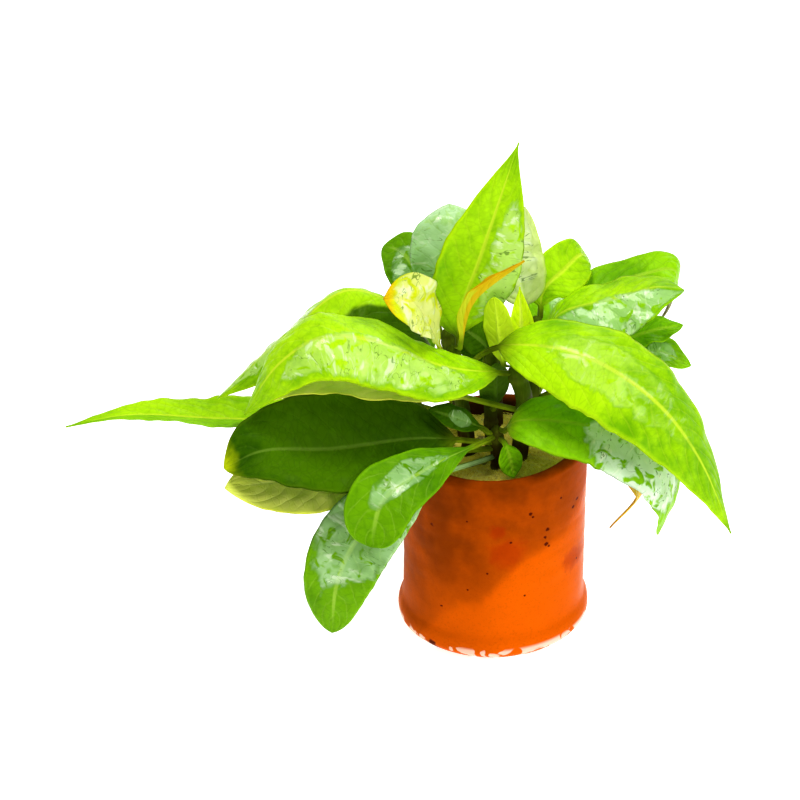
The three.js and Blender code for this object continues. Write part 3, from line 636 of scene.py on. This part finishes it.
# A blade carried along its midrib. Half its width is width / 2 times t^rise (1 - t)^taper, scaled
# to 1 at the belly. Across it, u runs from -1 to 1 and the halves open by fold and bend by cup:
# the cross-section is an arc whose slope is fold + cup |u|. On top of that lie waves that grow
# with u squared to the margin, blisters between the side veins, a groove over the midrib and a
# round rib under it that swells into the stalk.
def makeLeaf(name, leaf, seed):
    look = leafLook
    s = stems[leaf["stem"]]
    node = stemPoint(s, lipHeight + leaf["at"])
    path = [np.array((x, y, lipHeight + up)) for x, y, up in leaf["path"]]
    away = path[0] - node
    flat = unit(np.array((away[0], away[1], 0.0)))
    steep = abs(away[2]) / np.linalg.norm(away)
    start = node + flat * (s["radius"] + look["stalkGap"] + look["stalkRadius"] * steep)
    line = smoothLine([start, *path])
    full, petiole = lengthOf(line), leaf["petiole"]
    long = full - petiole
    at = np.concatenate([np.linspace(0, petiole, 8 + int(petiole), endpoint=False),
                         petiole + long * np.linspace(0, 1, look["alongSteps"])])
    t = np.clip((at - petiole) / long, 0, 1)
    centre, slope = alongLine(line, at)
    reach = line[-1] - line[0]
    side = carried(unit(np.array((-reach[1], reach[0], 0.0))), slope)
    up = np.cross(slope, side)
    turn = math.radians(leaf["roll"])
    across, lift = side * np.cos(turn) + up * np.sin(turn), up * np.cos(turn) - side * np.sin(turn)

    rise = leaf["taper"] * leaf["belly"] / (1 - leaf["belly"])
    shape = lambda x: x**rise * (1 - x) ** leaf["taper"]
    stalk = look["stalkRadius"] * (1 - t) ** 2
    half = np.maximum(np.maximum(look["tipWidth"] / 2, stalk),
                      leaf["width"] / 2 * shape(t) / shape(leaf["belly"]))
    blade = ease(at, petiole - 1.5, petiole + 0.10 * long)[:, None]
    w = np.linspace(-1, 1, look["acrossSteps"] + 1)
    u = np.sign(w) * (0.35 * abs(w) + 0.65 * abs(w) ** 1.7)
    u = np.concatenate([u, u[-2:0:-1]])  # over the top from -1 to 1, then back underneath
    over = np.concatenate([np.ones(look["acrossSteps"] + 1), -np.ones(look["acrossSteps"] - 1)])
    size = abs(u)[None]
    ragged = uneven(np.stack([at, 0 * at], 1) + [[0, 50 * seed]], look["jag"][1], seed)[:, None]
    half = half[:, None] * (1 + look["jag"][0] * blade * ragged * np.sign(u))

    fold = math.radians(leaf["fold"]) * np.minimum(1, t / 0.2)[:, None]
    cup = np.radians(leaf["cup"]) * np.minimum(1, t / 0.2)[:, None] + 1e-5
    x = np.sign(u) * half * (np.sin(fold + cup * size) - np.sin(fold)) / cup
    z = half * (np.cos(fold) - np.cos(fold + cup * size)) / cup

    tall, count = leaf["wave"]
    phase = 2 * math.pi * (count * t[:, None] + 0.17 * seed) + 1.9 * (u > 0)
    z = z + tall * blade * size**2 * np.sin(phase) * np.sin(math.pi * t)[:, None]
    veins = leaf["veins"] * (t[:, None] - look["slant"] * size**1.25) + 0.4 * (u > 0)
    swell = abs(np.sin(math.pi * veins)) ** 0.8 * ease(size, 0.0, 0.15) * ease(size, 1.0, 0.7)
    hill = np.sin(math.pi * t)[:, None] ** 0.3
    z = z + look["blisters"] * blade * swell * np.minimum(1, half / 6) * hill
    crumple = uneven(np.stack([x, at[:, None] + 0 * x], -1), look["crumpleSize"], seed + 40)
    z = z + leaf["crumple"] * blade * crumple * ease(size, 0, 0.4) * np.minimum(1, half / 8)

    rib = np.maximum(look["ribTip"], look["stalkRadius"] * (1 - t) ** 0.8)[:, None]
    hump = np.exp(-((x / (0.75 * rib)) ** 2))
    dome = np.sqrt(np.clip(1 - size**2, 0, 1))
    rim = np.sqrt(np.clip(1 - size**8, 0, 1))
    gutter = 1 - 0.3 * (over > 0) * np.exp(-((size / 0.45) ** 2))
    stalkSkin = look["stalkRadius"] * 0.95 * dome * gutter
    middle = np.where(over > 0, -look["groove"], look["ridge"]) * rib * hump
    bladeSkin = look["thickness"] / 2 * rim + middle * rim
    z = z + over * ((1 - blade) * stalkSkin + blade * bladeSkin)

    rings = centre[:, None] + across[:, None] * x[..., None] + lift[:, None] * z[..., None]
    rings = np.concatenate([rings[:1] - flat * (look["grip"] * s["radius"] + look["stalkGap"]), rings])
    t, blade = np.concatenate([t[:1], t]), np.concatenate([blade[:1], blade])
    uv = np.stack(np.broadcast_arrays(u[None] / 2 + 0.5, t[:, None]), -1)
    marks = {"under": (over < 0) + 0.0 * blade, "stalk": 1 - blade + 0.0 * u}
    piece = ringSkin(pieceName("leaf", name), rings[:, ::-1], uv[:, ::-1],
                     {k: v[:, ::-1] for k, v in marks.items()})
    settle(piece, leaf["slot"], "leaf_" + name)
    piece.data.materials.append(leafMaterial(name, leaf, long, seed))
    return piece


# The tone of each part of a blade, mixed from its own, its left half's and its tip's.
def toneOf(n, leaf, key, left, along):
    tone = leafTones[leaf["tone"]][key]
    if leaf["half"]:
        tone = n.mix(left, tone, leafTones[leaf["half"][0]][key])
    if leaf["tip"]:
        other, start = leaf["tip"]
        tone = n.mix(n.step(along, start - 0.04, start + 0.06), tone, leafTones[other][key])
    return tone


# Blade skin: mottled between two greens, paler rib, side veins and margin, a matt pale underside,
# and glossy water where film says, painted whitish as its sheen, with painted pale highlights on its
# streaks.
def leafMaterial(name, leaf, length, seed):
    look, tone = leafLook, leafTones[leaf["tone"]]
    skin, n, shader = newSkin(pieceName("leafSkin", name))
    surface = n.surface()
    span = (leaf["width"], length, 1.0)
    place = n.place()
    under = n.mark("under")
    stalk = n.mark("stalk")
    veins = n.group(leafVeins, {"Map": surface, "Span": (leaf["width"] / 2, length, 1.0),
                                "Count": float(leaf["veins"]), "Slant": look["slant"]})
    blot = n.noise(place, look["blotScale"], 3.0, 0.6)
    fine = n.noise(place, look["fineScale"], 3.0, 0.6)
    xy = n.parts(surface)
    side, sideTip = leaf["half"][1:] if leaf["half"] else (0.5, 0.5)
    edge = n.timesPlus(xy[1], sideTip - side, side)
    left = n.step(n.math("SUBTRACT", xy[0], edge), -0.04, 0.04)
    along = n.timesPlus(blot, 0.16, n.math("SUBTRACT", xy[1], 0.08))
    deep, light, rib, margin, below = [toneOf(n, leaf, key, left, along)
                                       for key in ("deep", "light", "rib", "margin", "under")]
    broad = n.noise(place, look["broadScale"], 2.0, 0.5)
    mottle = n.timesPlus(broad, 0.60, n.times(blot, 0.30))
    mottle = n.timesPlus(fine, 0.20, mottle)
    green = n.mix(n.step(mottle, 0.40, 0.66), deep, light)
    green = n.tint(green, veins["Swell"], look["swell"], light)
    green = n.tint(green, veins["Net"], look["net"], deep)
    green = n.tint(green, veins["Vein"], tone["veins"], rib)
    across = n.math("ABSOLUTE", n.timesPlus(xy[0], 2.0, -1.0))
    green = n.tint(green, n.step(across, 0.86, 1.0), look["margin"], margin)
    green = n.tint(green, veins["Rib"], look["rib"], rib)
    green = n.tint(green, under, look["under"], below)
    stalkGreen = n.mix(n.step(blot, 0.35, 0.65), look["stalkDeep"], look["stalkLight"])
    green = n.mix(stalk, green, stalkGreen)
    height = n.timesPlus(veins["Vein"], -0.5, n.times(veins["Swell"], 0.6))
    height = n.timesPlus(veins["Net"], -0.16, height)
    height = n.timesPlus(fine, 0.35, height)
    rough = n.timesPlus(fine, 0.16, look["roughness"] - 0.08)
    rough = n.timesPlus(under, 0.2, rough)
    sockets = {"Coat Roughness": look["coatRoughness"], "Specular IOR Level": tone["gloss"],
               "Specular Tint": (*look["sheen"], 1)}
    if leaf["film"]:
        u, v, wide, long = leaf["film"]
        shift = tuple(np.random.default_rng(seed).uniform(-300, 300, 3))
        water = n.group(waterFilm, {"Map": surface, "Span": span, "Centre": (u, v, 0),
                                    "Size": (wide, long, 1), "Shift": shift, "Ragged": 0.5})
        film, rippleGlint, shore, curls = [n.times(water[key], n.math("SUBTRACT", 1.0, under))
                                      for key in ("Film", "RippleGlint", "Shore", "Squiggle")]
        soft = leaf["soft"]
        cover = n.timesPlus(blot, 1.0, look["filmShare"] * soft - 0.50)
        cover = n.math("MULTIPLY", film, cover, clamp=True)
        # painted sheen and highlight: under the water the blade turns to the paler wet colour, and its
        # streaks to the pale gleam
        green = n.mix(cover, green, leaf["wet"] or tone["wet"])
        green = n.tint(green, rippleGlint, look["rippleGlint"] * soft, look["paintedGlint"])
        green = n.tint(green, shore, look["shore"], deep)
        green = n.tint(green, curls, look["curl"] * soft, look["squiggle"])
        smoother = look["filmRoughness"] / look["roughness"] - 1
        rough = n.times(rough, n.timesPlus(film, smoother, 1.0))
        height = n.times(height, n.timesPlus(film, -0.6, 1.0))
        height = n.timesPlus(shore, 0.6, height)
        height = n.timesPlus(rippleGlint, 0.3, height)
        sockets["Coat Weight"] = n.times(film, look["filmCoat"])
    n.feed(shader, {"Base Color": green, "Roughness": rough,
                    "Normal": n.relief(height, *look["relief"]), **sockets})
    return skin


for seed, (name, leaf) in enumerate(leaves.items()):
    makeLeaf(name, {**usualLeaf, **leaf}, seed)
print("leaves ready:", len(leaves))

pot = dict(
    height=lipHeight, rim=25, waist=25.2, foot=26.6, base=24.6, footHeight=8, wall=3.6, floor=4,
    lean=1.8, rimTilt=1.5,  # degrees, towards +X
    dents=0.22, ridges=0.05,
    # bright is painted light: the clay's colour lower down and towards +X, where the key light falls
    clay=(0.44, 0.074, 0.0003), bright=(0.94, 0.160, 0.0006), deep=(0.20, 0.036, 0.0003),
    # water is a painted glint: the pale pinkish gleam of the water round the foot
    speck=(0.060, 0.003, 0.001), water=(1.0, 0.66, 0.52), stain=(0.40, 0.030, 0.001),
    # inside is painted shade: the near black of the wall's shaded inside
    inside=(0.045, 0.022, 0.002),
    tideSlope=0.75, tideWave=0.030,  # how the edge of the wet clay climbs towards +X, and wanders; the brighter orange below it is painted light
    relief=(0.45, 0.0004), gloss=0.02, poolCoat=0.9, coatRoughness=0.12,
    # marks and stains on the side towards -Y: (x, z, radius)
    marks=[(8, 45.5, 0.5), (8.6, 44.4, 0.35), (12.2, 34.5, 0.55), (12.9, 33.6, 0.35), (12.6, 39, 0.5),
           (20, 41.5, 0.4), (21.2, 43, 0.45), (16.5, 47, 0.3), (2.5, 37.5, 0.35), (-4, 28, 0.3),
           (-19.5, 2.6, 1.1), (-18.2, 1.0, 0.9), (6, 20, 0.3), (-9, 44, 0.25)],
    stains=[(1.5, 34, 4.5), (-1, 41, 2.0), (20, 25, 3.0)],
    sheen=(1.0, 0.40, 0.06),  # tint of the clay's own mirror light
)


# From half the pot's height up, z rises by tan(rimTilt) x, in full at the lip. Then x shifts by
# tan(lean) for each millimetre that a point lies above or below the lip.
def leanOver(points):
    share = np.maximum(0, 2 * points[..., 2] / pot["height"] - 1)
    z = points[..., 2] + share * math.tan(math.radians(pot["rimTilt"])) * points[..., 0]
    x = points[..., 0] + math.tan(math.radians(pot["lean"])) * (z - pot["height"])
    return np.stack([x, points[..., 1], z], -1)


# The wall's section, from the middle of the underside round the foot, up to the lip and down
# inside to the middle of the floor, as a smooth line turned about the axis. Dents and throwing
# ridges move it in and out by a fraction of a millimetre.
def makePot():
    p = pot
    lip, inner, f = p["wall"] / 2, p["rim"] - p["wall"], p["footHeight"]
    a = np.linspace(-0.15, math.pi + 0.15, 15)
    lipArc = [(p["rim"] - lip + lip * math.cos(k), p["height"] - lip + lip * math.sin(k)) for k in a]
    section = [(0.4, 0), (12, 0), (p["base"] - 1.2, 0), (p["base"], 0.45), (p["foot"] - 0.35, f * 0.25),
               (p["foot"], f * 0.47), (p["foot"] - 0.3, f * 0.72), (p["waist"] + 0.15, f * 0.98),
               (p["waist"], f * 1.25), ((p["waist"] + p["rim"]) / 2, p["height"] / 2),
               (p["rim"], p["height"] - lip * 2.2), *lipArc, (inner, p["height"] - lip * 2.2),
               (inner, p["floor"] + 2), (inner - 2, p["floor"]), (0.4, p["floor"])]
    line = smoothLine([(r, 0, z) for r, z in section])
    full = lengthOf(line)
    at = np.linspace(0, full, 300)
    line, slope = alongLine(line, at)
    turn = np.linspace(0, 2 * math.pi, 240, endpoint=False)
    r, z = line[:, 0][:, None], np.maximum(line[:, 2], 0)[:, None]
    ring = np.stack(np.broadcast_arrays(np.cos(turn)[None], np.sin(turn)[None], z / 30), -1)
    outside = ease(at, 20, 26)[:, None]
    push = p["dents"] * uneven(ring, 2.4, 3) + 0.35 * p["dents"] * uneven(ring, 0.8, 8)
    push = push + p["ridges"] * uneven(np.stack([z[:, 0] * 1.0, 0 * at], 1), 3.2, 12)[:, None]
    r = r + push * outside * ease(r, 6, 20)
    rings = np.stack(np.broadcast_arrays(r * np.cos(turn), r * np.sin(turn), z + 0 * turn), -1)
    uv = np.stack(np.broadcast_arrays((turn / (2 * math.pi))[None], (at / full)[:, None]), -1)
    piece = ringSkin("clayPot", leanOver(rings), uv)
    settle(piece, "clay", "pot")
    return piece


# A ragged round mark on the side towards -Y: 1 inside radius size of (x, z), easing out over edge
# times size, the distance bent by a fine noise.
def roundMark(n, place, x, z, size, edge):
    size = size * mm
    away = n.vector("SUBTRACT", place, (x * mm, -pot["rim"] * mm, z * mm))
    reach = n.length(n.vector("MULTIPLY", away, (1, 0, 1)))
    reach = n.timesPlus(n.noise(place, 1.6 / size, 2.0), size * 1.2, reach)
    facing = n.step(n.parts(place)[1], -0.004, -0.006)
    inside = n.step(reach, size * (1.6 + edge / 2), size * (1.6 - edge / 2))
    return n.times(inside, facing)


# Fired clay, wet in places: large tongues of brighter and darker orange with soft scalloped edges, the
# brighter painted light lower down and towards +X, dark specks, and pale water round the bottom of the
# foot, a painted glint.
def clayMaterial():
    skin, n, shader = newSkin("wetClayPaintedLight")
    place = n.place()
    xyz = n.parts(place)
    big = n.noise(place, 38.0, 3.0, 0.5, 0.6)
    soft = n.noise(place, 90.0, 4.0, 0.6)
    grit = n.noise(place, 1500.0, 3.0, 0.6)
    # painted light: below this edge, lower down and towards +X, the clay is painted a brighter orange
    # where the key light falls; the wet part there is also made smoother and raised
    tide = n.timesPlus(big, pot["tideWave"], n.times(xyz[2], -1.0))
    tide = n.timesPlus(xyz[0], pot["tideSlope"], tide)
    wet = n.step(tide, -0.013, -0.007)
    paintedLightWide = n.step(tide, -0.040, 0.004)
    tone = n.mix(n.step(soft, 0.25, 0.80), pot["deep"], pot["clay"])
    tone = n.tint(tone, paintedLightWide, 0.45, pot["bright"])
    tone = n.tint(tone, wet, 0.45, pot["bright"])
    dots = n.group(specks, {"Place": place, "Scale": 560.0, "Amount": 0.012})["Speck"]
    for x, z, size in pot["marks"]:
        dots = n.math("MAXIMUM", dots, roundMark(n, place, x, z, size, 0.5))
    stained = 0.0
    for x, z, size in pot["stains"]:
        stained = n.math("MAXIMUM", stained, roundMark(n, place, x, z, size, 0.9))
    tone = n.tint(tone, stained, 0.5, pot["stain"])
    tone = n.tint(tone, dots, 0.9, pot["speck"])
    tone = n.tint(tone, n.step(grit, 0.5, 0.8), 0.25, pot["deep"])
    # painted glint: the water round the bottom of the foot is painted pale pinkish, and also gets a
    # glossy coat
    pool = n.step(n.noise(place, 110.0, 2.5, 0.5, 1.8), 0.50, 0.53)
    pool = n.times(pool, n.step(xyz[2], 0.0046, 0.0034))
    tone = n.tint(tone, pool, 0.85, pot["water"])
    along = n.parts(n.surface())[1]  # the wall's inside begins past half its section
    # painted shade: the wall's inside is darkened almost to black, for the shadow in the pot's hollow
    tone = n.tint(tone, n.step(along, 0.525, 0.545), 0.9, pot["inside"])
    # painted shade: a darker band down a dent in the side towards the left
    dentShade = n.times(n.step(xyz[2], 0.018, 0.030), n.step(xyz[1], -0.006, -0.012))
    off = n.math("ABSOLUTE", n.timesPlus(big, 0.010, n.math("ADD", xyz[0], 0.0115)))
    dentShade = n.times(dentShade, n.step(off, 0.0045, 0.0005))
    tone = n.tint(tone, dentShade, 0.55, pot["deep"])
    rough = n.timesPlus(wet, -0.22, n.timesPlus(soft, 0.25, 0.32))
    height = n.timesPlus(grit, 0.4, n.times(soft, 0.8))
    height = n.timesPlus(dots, -0.5, height)
    height = n.timesPlus(wet, 0.25, height)
    n.feed(shader, {"Base Color": tone, "Roughness": rough, "Normal": n.relief(height, *pot["relief"]),
                    "Coat Weight": n.times(pool, pot["poolCoat"]),
                    "Coat Roughness": pot["coatRoughness"], "Specular IOR Level": pot["gloss"],
                    "Specular Tint": (*pot["sheen"], 1)})
    return skin


makePot().data.materials.append(clayMaterial())
print("pot ready")

wool = dict(
    sink=4, crown=0.8, lumps=0.55, gap=0.3, seed=7,
    fibres=3600, fibreLength=(2.0, 5.5), fibreRadius=0.05, fibreBend=0.5, fibreArch=(0.1, 0.9),
    # dark is painted shade, the colour of the wool's shaded holes
    olive=(0.62, 0.48, 0.008), straw=(0.95, 0.86, 0.16), dark=(0.070, 0.056, 0.003),
)


# How high the wool's lumps stand at (x, y): a coarse unevenness with a finer one on it.
def woolLumps(flat):
    return wool["lumps"] * (uneven(flat, 6.0, 21) * 0.6 + uneven(flat, 2.2, 22) * 0.4 - 0.3)


# A plug turned about the pot's axis, its top crowned and lumpy.
def makeWool():
    p = pot
    radius, low = p["rim"] - p["wall"] - wool["gap"], p["floor"] + wool["gap"]
    top = p["height"] - wool["sink"]
    section = [(0.4, low), (radius - 2, low), (radius, low + 2), (radius, top - 2),
               (radius - 0.8, top - 0.5), (radius * 0.7, top + 0.4), (0.4, top + wool["crown"])]
    line = smoothLine([(r, 0, z) for r, z in section])
    at = np.linspace(0, lengthOf(line), 150)
    line, slope = alongLine(line, at)
    turn = np.linspace(0, 2 * math.pi, 160, endpoint=False)
    r, z = line[:, 0][:, None], line[:, 2][:, None]
    x, y = r * np.cos(turn), r * np.sin(turn)
    onTop = ease(z, top - 3, top - 0.5) * ease(at, 40, 60)[:, None]
    rings = np.stack([x, y, z + woolLumps(np.stack([x, y], -1)) * onTop], -1)
    piece = ringSkin("woolPlug", leanOver(rings))
    settle(piece, "wool", "wool_plug")
    return piece


# Loose fibres: thin three-sided tubes on the plug's top, each a shallow arc that starts and ends
# in the wool, with seeded places, directions and lengths.
def makeFibres():
    dice = np.random.default_rng(wool["seed"])
    count = wool["fibres"]
    radius = pot["rim"] - pot["wall"] - 2 * wool["gap"]
    reach = radius * np.sqrt(dice.uniform(0, 1, count))
    spin = dice.uniform(0, 2 * math.pi, count)
    mid = np.stack([reach * np.cos(spin), reach * np.sin(spin)], -1)
    way = dice.uniform(0, 2 * math.pi, count)
    way = np.stack([np.cos(way), np.sin(way)], -1)[:, None]
    across = np.stack([-way[..., 1], way[..., 0]], -1)
    long = dice.uniform(*wool["fibreLength"], count)[:, None, None]
    bend = dice.normal(0, wool["fibreBend"], count)[:, None, None]
    t = np.linspace(-0.5, 0.5, 6)[:, None]
    flat = mid[:, None] + long * t * way + bend * (1 - 4 * t**2) * across
    flat = flat * np.minimum(1, radius / np.maximum(np.hypot(*flat.T).T, 1e-6))[..., None]
    share = np.hypot(*flat.T).T / (radius * 0.7)
    crown = np.where(share < 1, 0.8 - 0.4 * share, 0.4 - 2.0 * (share - 1))
    base = pot["height"] - wool["sink"] + crown + woolLumps(flat)
    arch = dice.uniform(*wool["fibreArch"], count)[:, None] * (1 - 4 * t[:, 0] ** 2)
    centre = np.dstack([flat, base - 0.15 + arch])
    slope = unit(np.gradient(centre, axis=1))
    side = unit(np.cross(slope, (0.0, 0.0, 1.0)))
    front = np.cross(slope, side)
    a = (np.arange(3) * 2 * math.pi / 3)[:, None]
    size = wool["fibreRadius"] * dice.uniform(0.6, 1.4, count)[:, None, None, None]
    rings = centre[:, :, None] + size * (side[:, :, None] * np.cos(a) + front[:, :, None] * np.sin(a))
    each = len(t) * len(a)
    ends = np.array([[2, 1, 0], [each - 3, each - 2, each - 1]])
    step = (np.arange(count) * each)[:, None, None]
    points = leanOver(rings.reshape(-1, 3))
    piece = makeMesh("woolFibres", points, ringQuads(len(t), len(a)) + step, ends + step)
    settle(piece, "wool")
    return piece


# Wool skin: olive to straw in patches, with painted shade in its holes; share makes it paler.
def woolMaterial(name, share):
    skin, n, shader = newSkin(name)
    place = n.place()
    patch = n.noise(place, 170.0, 3.0, 0.6)
    fine = n.noise(place, 1400.0, 3.0, 0.7)
    mottle = n.timesPlus(fine, 0.5, n.times(patch, 0.6))
    tone = n.mix(n.step(mottle, 0.42 - share, 0.72 - share), wool["olive"], wool["straw"])
    # painted shade: dark holes in the wool
    holeShade = n.step(n.noise(place, 240.0, 2.0, 0.5), 0.34, 0.27)
    tone = n.tint(tone, holeShade, 0.9 - share, wool["dark"])
    n.feed(shader, {"Base Color": tone, "Normal": n.relief(fine, 0.8, 0.0005),
                    "Roughness": 0.85, "Sheen Weight": 0.3})
    return skin


makeWool().data.materials.append(woolMaterial("woolBody", 0.0))
makeFibres().data.materials.append(woolMaterial("woolFibre", 0.25))
print("wool ready")
